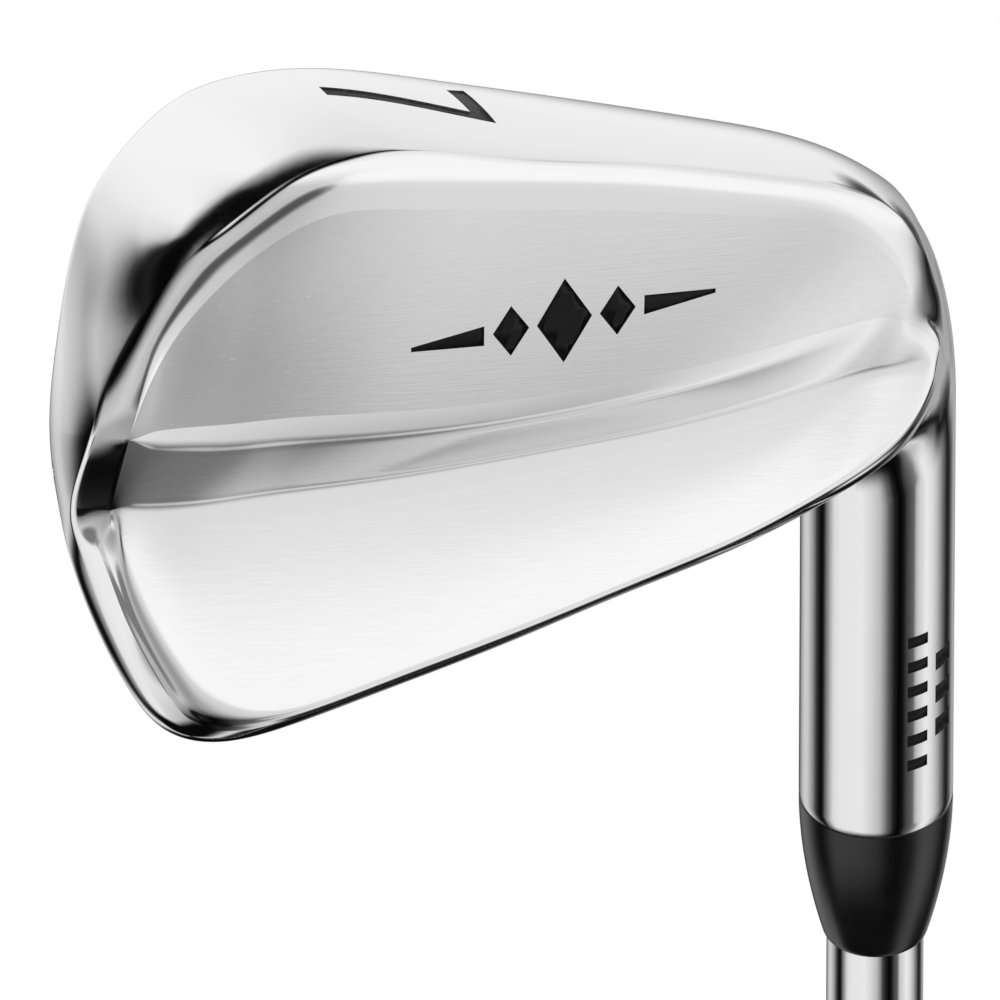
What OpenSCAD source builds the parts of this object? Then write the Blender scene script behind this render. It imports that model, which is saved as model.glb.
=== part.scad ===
// Right-handed forged muscle-back iron, seven iron, complete with shaft and grip.
// Frame: +Z runs along the shaft axis from the butt of the grip to the head,
// the origin is the centre of the flat butt face, +Y is the direction of the
// target (the striking face looks that way) and the toe points to -X and +Z.
// Millimetres throughout.

/* [Set-up] */
// Angle between the shaft axis and the ground line, degrees
lie_angle = 63; // [61:0.5:64]
// Angle between the striking face and the shaft axis, degrees
loft_angle = 35; // [33:0.5:37]
// Distance from the butt face to the point where the shaft axis meets the ground
club_length = 940; // [900:5:980]
// How far the leading edge stands ahead of the shaft axis
face_lead = 4.2; // [3.4:0.1:5]

/* [Head] */
// Outer diameter of the hosel
hosel_d = 13.8; // [13.4:0.1:14.2]
// Distance along the axis from the ground point to the end of the hosel
hosel_reach = 65.5; // [62:0.1:68]
// Depth of the shaft bore in the hosel
bore_depth = 31; // [28:1:34]
// Depth of the stamped marks
mark_depth = 0.4; // [0.3:0.05:0.5]
// Extra height of the muscle over the upper blade
muscle_extra = 0; // [-0.5:0.1:0.6]

/* [Ferrule] */
// Length of the ferrule
ferrule_length = 15; // [13:0.5:18]
// Outer diameter at the shaft end of the ferrule
ferrule_tip_d = 9.3; // [9.1:0.1:9.8]

/* [Shaft] */
// Outer diameter of the shaft at the hosel
tip_d = 8.7; // [8.4:0.1:8.9]
// Outer diameter of the shaft under the grip
butt_d = 15.2; // [14.8:0.1:15.6]
// Number of step-downs in the shaft
step_count = 13; // [10:1:14]
// Distance between one step-down and the next
step_pitch = 36; // [30:1:38]
// Position of the first step-down from the butt face
first_step = 292; // [285:1:300]

/* [Grip] */
// Length of the grip
grip_length = 267; // [255:1:275]
// Diameter of the rounded cap end of the grip
cap_d = 27; // [26:0.5:29]
// Diameter of the grip at its mouth
mouth_d = 18; // [17.5:0.5:19]
// Diameter of the vent hole in the cap
vent_d = 2.4; // [2:0.2:3.2]

/* [Hidden] */

su = sin(lie_angle);
cu = cos(lie_angle);
sl = sin(loft_angle);
cl = cos(loft_angle);
hosel_r = hosel_d / 2;
tip_r = tip_d / 2;
butt_r = butt_d / 2;
hosel_z = club_length - hosel_reach;      // joint of hosel and ferrule
bore_r = tip_r + 0.25;                    // bore with its bond gap
tape_r = butt_r + 0.2;
heel_dome = 22;                           // height of the rounded heel

// Blade frame: x runs heel to toe, y runs up the face from the leading
// edge, z is the depth behind the face plane.
module blade_frame()
    multmatrix([[-su, -cu * cl, cu * sl, 0],
                [0, -sl, -cl, face_lead],
                [cu, -su * cl, su * sl, club_length],
                [0, 0, 0, 1]]) children();

// Rails of the blade at sixteen stations from the toe tip round to the heel.
// Each row lists the face edge, wall edge, panel edge on the sole side, the
// upper and lower line of the ledge, then the panel edge, wall edge and face
// edge on the topline side.
m = muscle_extra;
rail = [
 [[80.7,37.2,0],[81.1,38.4,7.9],[78,38.1,9+m],[78,38.1,9+m],[76.3,43.9,4.8],[76.3,43.9,4.8],[79.7,44.2,3.9],[78.6,44,0]],
 [[81.2,28.5,0],[80,30.8,8.5],[76.7,29.5,10.4+m],[75.3,38,8.8+m],[75,43.6,5],[74.6,48,4.7],[76.7,48.1,2.5],[76.8,48.2,0]],
 [[80.4,18.2,0],[76.3,22.8,10.2],[73.4,22.9,11.5+m],[72.2,37.6,8.7+m],[72,43,5],[71.6,52.2,4.7],[73.3,53.3,2.5],[73.5,53.4,0]],
 [[77.2,11.2,0],[72.5,18.1,11.2],[70.2,18.5,12.6+m],[68.5,37,8.6+m],[68.2,42.1,5],[66.9,57,4.6],[68.6,58.7,2.4],[68.8,58.8,0]],
 [[72.8,6,0],[67.6,13.1,12.8],[66.3,14.8,13.9+m],[64.7,36.2,8.6+m],[64.5,41,5],[63.6,59.3,4.6],[64.6,61.4,2],[64.6,61.4,0]],
 [[66.5,2.7,0],[62,10,13.7],[61.6,12.4,14.8+m],[60,35.1,8.6+m],[60,39.6,5],[58.8,59.6,4.6],[59.4,61.4,2],[59.4,61.4,0]],
 [[57.5,0.7,0],[54.8,8.2,14],[54.5,11,15+m],[53.3,33.6,8.7+m],[53.2,37.6,5],[52,57.2,4.6],[52.5,58.7,2],[52.5,58.7,0]],
 [[46,-0.2,0],[44.5,7.1,14.1],[44.5,9.3,15+m],[43.8,31.2,8.8+m],[43.6,34.6,5],[43,52.6,4.5],[43.3,54,2],[43.3,54,0]],
 [[33,-0.9,0],[32,5.3,14.1],[32,7.4,15+m],[32,27.5,8.8+m],[32,30.7,5],[31.8,46.8,4.5],[32,48.1,2],[32,48.1,0]],
 [[20,-1.5,0],[19.2,3.9,13.4],[19.5,5.9,14.6+m],[20,23,8.7+m],[20.2,26.6,5],[20.8,40.8,4.5],[21,42,2],[21,42,0]],
 [[8,-1.6,0],[8,3.6,12.7],[9,5.6,13.6+m],[9.8,18.5,8.2+m],[10.2,22.6,5],[11.5,35.6,4.6],[11.5,36.9,2],[11.5,36.9,0]],
 [[-1,0,0],[0.5,6,10.8],[1.8,8,11.2+m],[2,14.9,7.6+m],[3,19.5,5],[4.8,31.2,4.8],[4.5,32.7,2],[4.5,32.7,0]],
 [[-4.3,2.1,0.5],[-4.3,9,7.4],[-1.5,10.5,9+m],[-1.4,14.2,7.2+m],[-1.2,18,5.2],[-0.5,27.2,5],[-1.2,28.4,3.2],[0,28.5,0]],
 [[-6.7,6,0.9],[-8.8,12.1,3.3],[-3.8,12.4,7+m],[-4,14.4,6.4+m],[-4.4,17,5.3],[-4.9,23,5],[-6.5,24,2.6],[-5.5,21.7,-5.2]],
 [[-8.5,8.6,0.3],[-11.2,14.8,0.2],[-6.3,13.5,5.8+m],[-6.4,15,5.6+m],[-6.6,16.5,5.3],[-6.9,19,5],[-10,19.5,1.4],[-9.5,17.6,-3.6]],
 [[-9.9,11.4,-0.4],[-12,16,-0.6],[-7.2,15,5.3+m],[-7.2,15,5.3+m],[-7.3,16.5,5],[-7.3,16.5,5],[-11.4,17.4,0.2],[-9.9,14.7,-1.5]]
];
rows = len(rail);

// Smooth curve through the rail points, with the ends held.
function at(i, k) = rail[max(0, min(rows - 1, i))][k];
function tangent(i, k) = i <= 0 ? at(1, k) - at(0, k)
                       : i >= rows - 1 ? at(rows - 1, k) - at(rows - 2, k)
                       : (at(i + 1, k) - at(i - 1, k)) / 2;
function rail_at(s, k) =
    let (i = min(rows - 2, floor(s)), t = s - i, t2 = t * t, t3 = t2 * t)
    (2 * t3 - 3 * t2 + 1) * at(i, k) + (t3 - 2 * t2 + t) * tangent(i, k)
    + (3 * t2 - 2 * t3) * at(i + 1, k) + (t3 - t2) * tangent(i + 1, k);

function unit(v) = v / max(0.0001, norm(v));
function lerp(a, b, t) = a + (b - a) * t;
function ramp(a, b, x) = let (t = max(0, min(1, (x - a) / (b - a)))) t * t * (3 - 2 * t);

// Three-point rounded corner at c between the directions of a and b.
function corner(a, c, b, r, t) =
    let (p = c + r * unit(a - c), q = c + r * unit(b - c))
    (1 - t) * (1 - t) * p + 2 * t * (1 - t) * c + t * t * q;

// Wall between face edge f and back edge g: corner points, then a bulged wall.
function wall(f, g, inside, r, bulge, out) = concat(
    [for (t = [0, 0.35, 0.7, 1]) corner(inside, f, g, r, t)],
    [for (t = [0.3, 0.55, 0.8]) lerp(f, g, t) + out * bulge * 4 * t * (1 - t)],
    [g]);

// One closed section: sole wall, muscle, ledge, upper blade, top wall, face.
function section(s) =
    let (fs = rail_at(s, 0), gs = rail_at(s, 1), hs = rail_at(s, 2),
         la = rail_at(s, 3), lb = rail_at(s, 4), ht = rail_at(s, 5),
         gt = rail_at(s, 6), ft = rail_at(s, 7),
         soleness = ramp(1.5, 5, s) * (1 - ramp(11, 13, s)),
         heel = ramp(11.5, 13, s),
         out = unit(unit(fs - ft) + [0, 0, -0.02]),
         dip = 0.35 * soleness,
         rs = lerp(0.7, 1.9, soleness),
         ws = wall(fs, gs, ft, rs, lerp(0.15, 1.1, soleness), out),
         wt = wall(ft, gt, fs, lerp(0.5, 0.3, heel), 0.1, -out),
         gap = ht - lb)
    concat(ws, [hs],
        [for (t = [0.25, 0.5, 0.75]) lerp(hs, la, t) - [0, 0, dip * 4 * t * (1 - t)]],
        [la, lb],
        [for (t = [0.3, 0.65]) lerp(lb, ht, t)],
        [ht], [for (i = [7 : -1 : 0]) wt[i]],
        [for (t = [0.2, 0.4, 0.6, 0.8]) lerp(wt[0], ws[0], t)]);

cuts_per_row = 4;
last = (rows - 1) * cuts_per_row;
sections = [for (i = [0 : last]) section(i / cuts_per_row)];
count = len(sections[0]);

// At both ends the muscle, blade and face fields close to a single edge.
function slot_of(i, j) = (i == 0 || i == last)
    ? ((j >= 8 && j <= 12) ? 8 : (j >= 13 && j <= 16) ? 16 : (j >= 25) ? 24 : j) : j;
function vid(i, j) = i * count + slot_of(i, j % count);
function tidy(f) = let (g = [for (k = [0 : len(f) - 1]) if (f[k] != f[(k + 1) % len(f)]) f[k]]) g;
function half(f) = len(f) == 4 ? [[f[0], f[1], f[2]], [f[0], f[2], f[3]]] : len(f) == 3 ? [f] : [];

side_faces = [for (i = [0 : last - 1], j = [0 : count - 1])
    each half(tidy([vid(i, j), vid(i + 1, j), vid(i + 1, j + 1), vid(i, j + 1)]))];
// The wall of each end joins sole-side points to topline-side points.
function end_faces(i, flip) = [for (j = [0 : 7])
    let (a = vid(i, j), b = vid(i, j + 1), c = vid(i, 23 - j), d = vid(i, 24 - j),
         f = tidy([a, b, c, d]))
    each [for (g = half(f)) flip ? [g[2], g[1], g[0]] : g]];

module blade_body()
    polyhedron(points = [for (p = sections) each p],
               faces = concat(side_faces, end_faces(0, false), end_faces(last, true)),
               convexity = 6);

// Hosel as a body of revolution with a rounded heel end, along the shaft axis.
module hosel_body()
    rotate_extrude($fn = 72)
        polygon(concat([[0, hosel_z]], [[hosel_r, hosel_z]],
            [for (a = [0 : 7.5 : 82.5]) [hosel_r * cos(a), club_length - heel_dome + heel_dome * sin(a)]],
            [[0, club_length]]));

// Plain numeral seven on the sole: a long leg running heel to toe and a short
// bar at its heel end, in the plane of the sole.
module sole_number_prism()
    blade_frame() rotate([90 - loft_angle, 0, 0]) translate([61.2, 7.5, 0.35]) rotate([6.6, 6.2, 0])
        translate([0, 0, -mark_depth]) linear_extrude(height = 8)
            polygon([[0, -0.8], [-0.1, 0.8], [-16.2, 3.1], [-15.9, -3.4], [-13.9, -2.9], [-14.2, 1.5]]);

// Neutral ornament on the muscle: three lozenges between two tapered lines.
module muscle_mark_prism()
    blade_frame() translate([36.5, 20, 10.85 + m]) rotate([-16.5, -3.5, 0]) rotate([0, 0, 20])
        translate([0, 0, -mark_depth]) linear_extrude(height = 8) {
            lozenge(0, 2.9, 3.9);
            for (k = [-1, 1]) {
                lozenge(k * 5.6, 1.9, 2.3);
                polygon([[k * 8.4, -0.9], [k * 8.4, 0.9], [k * 16, 0.2], [k * 16, -0.2]]);
            }
        }
module lozenge(x, a, b) polygon([[x - a, 0], [x, -b], [x + a, 0], [x, b]]);

// Plain tick marks round the hosel: a row of short bars and a row of long ones.
module hosel_mark_blocks() {
    for (k = [0 : 5]) mark_block(-80, hosel_z + 7.5 + 2.7 * k, 2.1, 1.2);
    for (k = [0 : 2]) mark_block(-53, hosel_z + 10.5 + 3.6 * k, 2.4, 1.9);
}
module mark_block(angle, z, wide, tall)
    rotate([0, 0, angle]) translate([hosel_r, 0, z]) cube([4, wide, tall], center = true);
module hosel_skin()
    difference() {
        translate([0, 0, hosel_z + 2]) cylinder(h = 28, r = hosel_r, $fn = 72);
        translate([0, 0, hosel_z + 1]) cylinder(h = 30, r = hosel_r - mark_depth, $fn = 72);
    }

// Score lines across the striking face, parallel to the ground line.
module score_lines()
    blade_frame() for (k = [0 : 12]) let (q = 6 + 3.4 * k, inner = 14 + 0.22 * q)
        translate([inner, q - 0.4, -0.5]) cube([min(74, 71 + 0.2 * q - 0.006 * q * q) - inner, 0.8, 0.9]);

module club_head()
    color([0.78, 0.79, 0.8])
    difference() {
        union() {
            blade_frame() blade_body();
            hosel_body();
        }
        translate([0, 0, hosel_z - 1]) cylinder(h = bore_depth + 1, r = bore_r, $fn = 64);
        sole_number_prism();
        muscle_mark_prism();
        score_lines();
        intersection() { hosel_skin(); hosel_mark_blocks(); }
    }

// Black paint left in the stamped marks, flush with the metal.
module sole_number_fill()
    color([0.06, 0.06, 0.06])
    intersection() { blade_frame() blade_body(); sole_number_prism(); }

module muscle_mark_fill()
    color([0.06, 0.06, 0.06])
    intersection() { blade_frame() blade_body(); muscle_mark_prism(); }

module hosel_mark_fill()
    color([0.06, 0.06, 0.06])
    intersection() { hosel_skin(); hosel_mark_blocks(); }

// Black collar that closes the joint of hosel and shaft, swelling to the hosel.
module ferrule()
    color([0.07, 0.07, 0.07])
    rotate_extrude($fn = 72)
        polygon(concat(
            [[tip_r, hosel_z - ferrule_length], [ferrule_tip_d / 2, hosel_z - ferrule_length]],
            [for (t = [0.05, 0.12, 0.2, 0.3, 0.4, 0.5, 0.6, 0.7, 0.8, 0.9])
                [lerp(ferrule_tip_d / 2, hosel_r, 1 - pow(1 - t, 1.9)), hosel_z - ferrule_length * (1 - t)]],
            [[hosel_r, hosel_z], [tip_r, hosel_z]]));

// Bond between shaft and bore.
module hosel_epoxy()
    color([0.75, 0.7, 0.5])
    difference() {
        translate([0, 0, hosel_z]) cylinder(h = bore_depth, r = bore_r, $fn = 64);
        translate([0, 0, hosel_z - 1]) cylinder(h = bore_depth - 1, r = tip_r, $fn = 64);
    }

// Stepped steel tube, open at both ends, tapering from the grip to the head.
shaft_bottom = 4;
shaft_top = hosel_z + bore_depth - 2;
tip_bore_r = tip_r - 0.75;
butt_bore_r = butt_r - 0.45;
function step_r(k) = lerp(butt_r, tip_r, k / step_count);
module shaft()
    color([0.72, 0.73, 0.75])
    rotate_extrude($fn = 64)
        polygon(concat(
            [[butt_bore_r, shaft_bottom], [butt_r, shaft_bottom]],
            [for (k = [0 : step_count - 1], e = [0, 1])
                [step_r(k + e), first_step + step_pitch * k + 1.4 * e]],
            [[tip_r, shaft_top - 0.6], [tip_r - 0.6, shaft_top],
             [tip_bore_r, shaft_top], [tip_bore_r, first_step + step_pitch * step_count],
             [butt_bore_r, first_step - 20]]));

// Plug pressed into the shaft tip to tune the swing weight.
module tip_weight()
    color([0.7, 0.55, 0.25])
    translate([0, 0, shaft_top - 14]) cylinder(h = 14, r = tip_bore_r, $fn = 48);

// Plain band wrapped round the shaft below the grip.
label_z = first_step + step_pitch * 1 + 8;
module shaft_label()
    color([0.85, 0.85, 0.85])
    difference() {
        translate([0, 0, label_z]) cylinder(h = 24, r = step_r(2) + 0.15, $fn = 64);
        translate([0, 0, label_z - 1]) cylinder(h = 26, r = step_r(2), $fn = 64);
    }

// Double-sided tape under the grip.
module grip_tape()
    color([0.82, 0.78, 0.68])
    difference() {
        translate([0, 0, shaft_bottom]) cylinder(h = grip_length - 14, r = tape_r, $fn = 64);
        translate([0, 0, shaft_bottom - 1]) cylinder(h = grip_length - 12, r = butt_r, $fn = 64);
    }

// Tapered rubber grip: rounded cap end, two rings, long taper, ringed mouth.
cap_r = cap_d / 2;
mouth_r = mouth_d / 2;
plug_r = cap_r - 2.4;
module grip()
    color([0.1, 0.1, 0.11])
    rotate_extrude($fn = 80)
        polygon([
            [plug_r, 0], [cap_r - 1.4, 0], [cap_r - 0.5, 0.4], [cap_r, 1.4],
            [cap_r, 3.2], [cap_r - 0.9, 5], [cap_r - 1.1, 8],
            [cap_r - 1.7, 8.4], [cap_r - 1.7, 9.6], [cap_r - 1.2, 10],
            [lerp(cap_r, mouth_r, 0.34), 55], [lerp(cap_r, mouth_r, 0.55), 110],
            [lerp(cap_r, mouth_r, 0.78), 180], [mouth_r + 0.1, grip_length - 22],
            [mouth_r - 0.5, grip_length - 21.4], [mouth_r - 0.5, grip_length - 20.2],
            [mouth_r + 0.1, grip_length - 19.6], [mouth_r, grip_length - 4],
            [mouth_r - 0.4, grip_length - 1], [mouth_r - 0.9, grip_length],
            [butt_r, grip_length], [butt_r, grip_length - 10],
            [tape_r, grip_length - 10], [tape_r, 4], [plug_r, 4]]);

// Closing plug of the grip with its vent hole.
module grip_end_cap()
    color([0.13, 0.13, 0.14])
    difference() {
        cylinder(h = 4, r = plug_r, $fn = 80);
        translate([0, 0, -1]) cylinder(h = 6, r = vent_d / 2, $fn = 32);
    }

club_head();
ferrule();
shaft();
grip();
grip_end_cap();
grip_tape();
hosel_epoxy();
tip_weight();
shaft_label();
sole_number_fill();
muscle_mark_fill();
hosel_mark_fill();
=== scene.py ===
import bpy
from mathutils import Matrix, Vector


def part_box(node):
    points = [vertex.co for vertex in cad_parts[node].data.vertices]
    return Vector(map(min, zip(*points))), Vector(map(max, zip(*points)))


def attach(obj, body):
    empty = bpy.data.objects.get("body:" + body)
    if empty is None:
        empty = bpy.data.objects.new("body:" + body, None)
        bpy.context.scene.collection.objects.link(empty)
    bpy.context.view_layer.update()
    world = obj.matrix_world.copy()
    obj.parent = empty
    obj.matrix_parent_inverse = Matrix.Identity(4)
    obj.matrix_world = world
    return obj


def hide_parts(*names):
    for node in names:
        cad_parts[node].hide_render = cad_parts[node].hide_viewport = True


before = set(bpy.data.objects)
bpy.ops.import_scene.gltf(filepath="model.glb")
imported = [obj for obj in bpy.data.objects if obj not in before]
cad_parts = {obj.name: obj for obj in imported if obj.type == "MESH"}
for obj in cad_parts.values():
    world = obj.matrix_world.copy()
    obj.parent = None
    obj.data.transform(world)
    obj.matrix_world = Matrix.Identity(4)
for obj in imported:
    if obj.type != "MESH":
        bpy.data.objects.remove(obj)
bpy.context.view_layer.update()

import math
import bpy
import bmesh
import numpy as np
from mathutils import Vector, Matrix
from mathutils.bvhtree import BVHTree

scene = bpy.context.scene
MM = 0.001

# ---------------------------------------------------------------- the frame
LIE, LOFT = math.radians(63.0), math.radians(35.0)
SU, CU = math.sin(LIE), math.cos(LIE)
SL, CL = math.sin(LOFT), math.cos(LOFT)
HOSEL_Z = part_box("ferrule")[1].z / MM          # joint of hosel and ferrule
FERRULE_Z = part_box("ferrule")[0].z / MM
GROUND = HOSEL_Z + 65.5                        # ground point on the shaft axis
LEAD = 4.2
HOSEL_R = 6.9
DOME = 22.0

# blade frame: u heel to toe, q up the face, t depth behind the face
E_U = np.array([-SU, 0.0, CU])
E_Q = np.array([-CU * CL, -SL, -SU * CL])
E_T = np.array([CU * SL, -CL, SU * SL])
ORIGIN = np.array([0.0, LEAD, GROUND])


def blade_to_frame(p):
    p = np.asarray(p, float)
    return p[..., 0:1] * E_U + p[..., 1:2] * E_Q + p[..., 2:3] * E_T + ORIGIN


# ---------------------------------------------------------------- helpers
def link(obj):
    scene.collection.objects.link(obj)
    return obj


def mesh_object(name, verts_mm, faces, mats=(), index=None, smooth=True):
    me = bpy.data.meshes.new(name)
    me.from_pydata((np.asarray(verts_mm) * MM).tolist(), [], [tuple(f) for f in faces])
    for m in mats:
        me.materials.append(m)
    if index is not None:
        me.polygons.foreach_set("material_index", np.asarray(index, np.int32))
    me.polygons.foreach_set("use_smooth", np.full(len(me.polygons), smooth))
    me.validate()
    me.update()
    return link(bpy.data.objects.new(name, me))


def weld(obj, dist=2e-6):
    bm = bmesh.new()
    bm.from_mesh(obj.data)
    bmesh.ops.remove_doubles(bm, verts=bm.verts, dist=dist)
    bmesh.ops.dissolve_degenerate(bm, dist=1e-7, edges=bm.edges)
    bmesh.ops.recalc_face_normals(bm, faces=bm.faces)
    bm.to_mesh(obj.data)
    bm.free()
    obj.data.update()


def boolean(obj, cutter, operation, keep=False):
    m = obj.modifiers.new("b", "BOOLEAN")
    m.operation = operation
    try:
        m.solver = "MANIFOLD"
    except TypeError:
        m.solver = "EXACT"
    m.object = cutter
    bpy.context.view_layer.update()
    dg = bpy.context.evaluated_depsgraph_get()
    me = bpy.data.meshes.new_from_object(obj.evaluated_get(dg))
    obj.modifiers.clear()
    old = obj.data
    obj.data = me
    bpy.data.meshes.remove(old)
    if not keep:
        bpy.data.objects.remove(cutter)
    return obj


def ramp(a, b, x):
    t = min(1.0, max(0.0, (x - a) / (b - a)))
    return t * t * (3 - 2 * t)


def lerp(a, b, t):
    return a + (b - a) * t


def unit(v):
    return v / max(1e-9, float(np.linalg.norm(v)))


# ---------------------------------------------------------------- materials
class Nodes:
    """Small builder for node materials."""

    def __init__(self, tree):
        self.t = tree
        self.n = tree.nodes
        self.l = tree.links

    def add(self, kind, **props):
        node = self.n.new(kind)
        for k, v in props.items():
            setattr(node, k, v)
        return node

    def set(self, socket, value):
        if hasattr(value, "is_output"):
            self.l.new(value, socket)
        else:
            socket.default_value = value

    def math(self, op, a, b=0.0, c=0.0, clamp=False):
        node = self.add("ShaderNodeMath", operation=op, use_clamp=clamp)
        for i, v in enumerate((a, b, c)):
            self.set(node.inputs[i], v)
        return node.outputs[0]

    def dot(self, vec, axis):
        node = self.add("ShaderNodeVectorMath", operation="DOT_PRODUCT")
        self.set(node.inputs[0], vec)
        node.inputs[1].default_value = axis
        return node.outputs["Value"]

    def combine(self, x, y, z):
        node = self.add("ShaderNodeCombineXYZ")
        for i, v in enumerate((x, y, z)):
            self.set(node.inputs[i], v)
        return node.outputs[0]

    def noise(self, vec, scale, detail=2.0, rough=0.5, distortion=0.0):
        node = self.add("ShaderNodeTexNoise")
        self.set(node.inputs["Vector"], vec)
        node.inputs["Scale"].default_value = scale
        node.inputs["Detail"].default_value = detail
        node.inputs["Roughness"].default_value = rough
        node.inputs["Distortion"].default_value = distortion
        return node.outputs["Fac"]

    def ramp(self, fac, stops, interpolation="LINEAR"):
        node = self.add("ShaderNodeValToRGB")
        cr = node.color_ramp
        cr.interpolation = interpolation
        while len(cr.elements) < len(stops):
            cr.elements.new(0.5)
        for e, (p, v) in zip(cr.elements, stops):
            e.position = p
        for e, (p, v) in zip(cr.elements, stops):
            e.position = p
            e.color = (v, v, v, 1.0) if isinstance(v, (int, float)) else (*v, 1.0)
        self.set(node.inputs[0], fac)
        return node.outputs[0]

    def mix(self, fac, a, b):
        node = self.add("ShaderNodeMix", data_type="FLOAT")
        self.set(node.inputs[0], fac)
        self.set(node.inputs[2], a)
        self.set(node.inputs[3], b)
        return node.outputs[0]

    def mixc(self, fac, a, b):
        node = self.add("ShaderNodeMix", data_type="RGBA")
        self.set(node.inputs[0], fac)
        for i, v in ((6, a), (7, b)):
            self.set(node.inputs[i], (*v, 1.0) if isinstance(v, tuple) and len(v) == 3 else v)
        return node.outputs[2]

    def map(self, v, a, b, c, d, smooth=False):
        node = self.add("ShaderNodeMapRange")
        if smooth:
            node.interpolation_type = "SMOOTHSTEP"
        for i, x in enumerate((v, a, b, c, d)):
            self.set(node.inputs[i], x)
        return node.outputs[0]


def material(name, build):
    m = bpy.data.materials.new(name)
    m.use_nodes = True
    nt = Nodes(m.node_tree)
    bsdf = m.node_tree.nodes["Principled BSDF"]
    build(nt, bsdf)
    return m


def object_position(nt):
    """Object coordinates in millimetres."""
    tc = nt.add("ShaderNodeTexCoord")
    sc = nt.add("ShaderNodeVectorMath", operation="SCALE")
    nt.set(sc.inputs[0], tc.outputs["Object"])
    sc.inputs["Scale"].default_value = 1000.0
    return sc.outputs[0]


def brushed_coords(nt, pos, angle, along, across):
    """Coordinates in the blade frame, turned by angle and stretched along the brushing."""
    u = nt.dot(pos, tuple(E_U))
    q = nt.dot(pos, tuple(E_Q))
    t = nt.dot(pos, tuple(E_T))
    ca, sa = math.cos(angle), math.sin(angle)
    s = nt.math("ADD", nt.math("MULTIPLY", u, ca), nt.math("MULTIPLY", q, sa))
    r = nt.math("SUBTRACT", nt.math("MULTIPLY", q, ca), nt.math("MULTIPLY", u, sa))
    return nt.combine(nt.math("MULTIPLY", s, along), nt.math("MULTIPLY", r, across),
                      nt.math("MULTIPLY", t, across)), s, r


def metal(nt, bsdf, color, roughness):
    bsdf.inputs["Metallic"].default_value = 1.0
    nt.set(bsdf.inputs["Base Color"], color)
    nt.set(bsdf.inputs["Roughness"], roughness)


def bump(nt, bsdf, height, strength, distance):
    b = nt.add("ShaderNodeBump")
    b.inputs["Strength"].default_value = strength
    b.inputs["Distance"].default_value = distance
    nt.set(b.inputs["Height"], height)
    nt.set(bsdf.inputs["Normal"], b.outputs[0])


def make_polished(nt, bsdf, base=0.94, rough=0.06):
    pos = object_position(nt)
    big = nt.noise(pos, 0.09, 3.0)
    fine = nt.noise(pos, 2.2, 2.0)
    r = nt.math("ADD", nt.map(big, 0.3, 0.7, rough * 0.85, rough * 1.2),
                nt.map(fine, 0.35, 0.65, -0.004, 0.006))
    c = nt.map(big, 0.25, 0.75, base - 0.012, base + 0.012)
    metal(nt, bsdf, nt.combine(c, c, nt.math("MULTIPLY", c, 1.002)), r)
    bump(nt, bsdf, nt.noise(pos, 0.5, 2.0), 0.02, 0.0002)


def make_satin(angle, rough, base, grain, dash, painted_shade=False):
    def build(nt, bsdf):
        pos = object_position(nt)
        vec, s, r = brushed_coords(nt, pos, angle, 0.16, 5.0)
        streak = nt.noise(vec, 1.0, 3.0, 0.55)
        vec2, s2, r2 = brushed_coords(nt, pos, angle + 0.05, 0.35, 9.0)
        streak2 = nt.noise(vec2, 1.0, 2.0, 0.6)
        vec3, s3, r3 = brushed_coords(nt, pos, angle - 0.08, 0.7, 11.0)
        dashes = nt.map(nt.noise(vec3, 1.0, 1.0), 0.735, 0.78, 0.0, dash)
        big = nt.noise(pos, 0.05, 2.0)
        rr = nt.math("ADD", nt.map(streak, 0.3, 0.7, rough - 0.03, rough + 0.03),
                     nt.map(big, 0.3, 0.7, -0.015, 0.015))
        c = nt.math("ADD", nt.map(streak2, 0.3, 0.7, base - 0.016, base + 0.016), dashes)
        if painted_shade:                              # painted shade: base colour darkened towards the toe and the ledge, standing in for darker reflections there
            u = nt.math("SUBTRACT", nt.dot(pos, tuple(E_U)), float(ORIGIN @ E_U))
            q = nt.math("SUBTRACT", nt.dot(pos, tuple(E_Q)), float(ORIGIN @ E_Q))
            toe_shade = nt.math("MULTIPLY", nt.map(u, 49, 69, 0.0, 0.33, True), nt.map(q, 19, 31, 0.5, 1.0, True))
            c = nt.math("MULTIPLY", c, nt.math("SUBTRACT", 1.0,
                        nt.math("ADD", toe_shade, nt.map(q, 9, 34, 0.0, 0.09, True))))
        metal(nt, bsdf, nt.combine(c, nt.math("MULTIPLY", c, 1.003), nt.math("MULTIPLY", c, 1.002)), rr)
        h = nt.math("ADD", nt.math("MULTIPLY", streak, 0.7), nt.math("MULTIPLY", streak2, 0.3))
        bump(nt, bsdf, nt.math("ADD", h, nt.math("MULTIPLY", dashes, 3.0)), grain, 0.0001)
    return build


POLISHED = material("forged_polished", make_polished)
# the muscle's satin carries painted shade: its base colour is darkened towards the toe and the ledge
MUSCLE = material("forged_satin_muscle", make_satin(0.24, 0.22, 0.95, 0.13, 0.35, True))
LEDGE = material("forged_satin_ledge", make_satin(0.10, 0.10, 0.94, 0.05, 0.0))
UPPER = material("forged_satin_blade", make_satin(0.18, 0.18, 0.955, 0.06, 0.25))


def build_face(nt, bsdf):
    pos = object_position(nt)
    u = nt.dot(pos, tuple(E_U))
    grit = nt.noise(pos, 6.0, 4.0, 0.7)
    vec, s, r = brushed_coords(nt, pos, 0.0, 0.3, 3.0)
    streak = nt.noise(vec, 1.0, 2.0)
    rough = nt.math("ADD", nt.map(grit, 0.3, 0.7, 0.33, 0.42), nt.map(streak, 0.3, 0.7, -0.03, 0.03))
    c = nt.map(grit, 0.3, 0.7, 0.78, 0.84)
    metal(nt, bsdf, nt.combine(c, c, c), rough)
    bsdf.inputs["Metallic"].default_value = 0.45         # blasted steel scatters most of its light
    bump(nt, bsdf, grit, 0.25, 0.0001)


FACE = material("forged_blasted_face", build_face)


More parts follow.
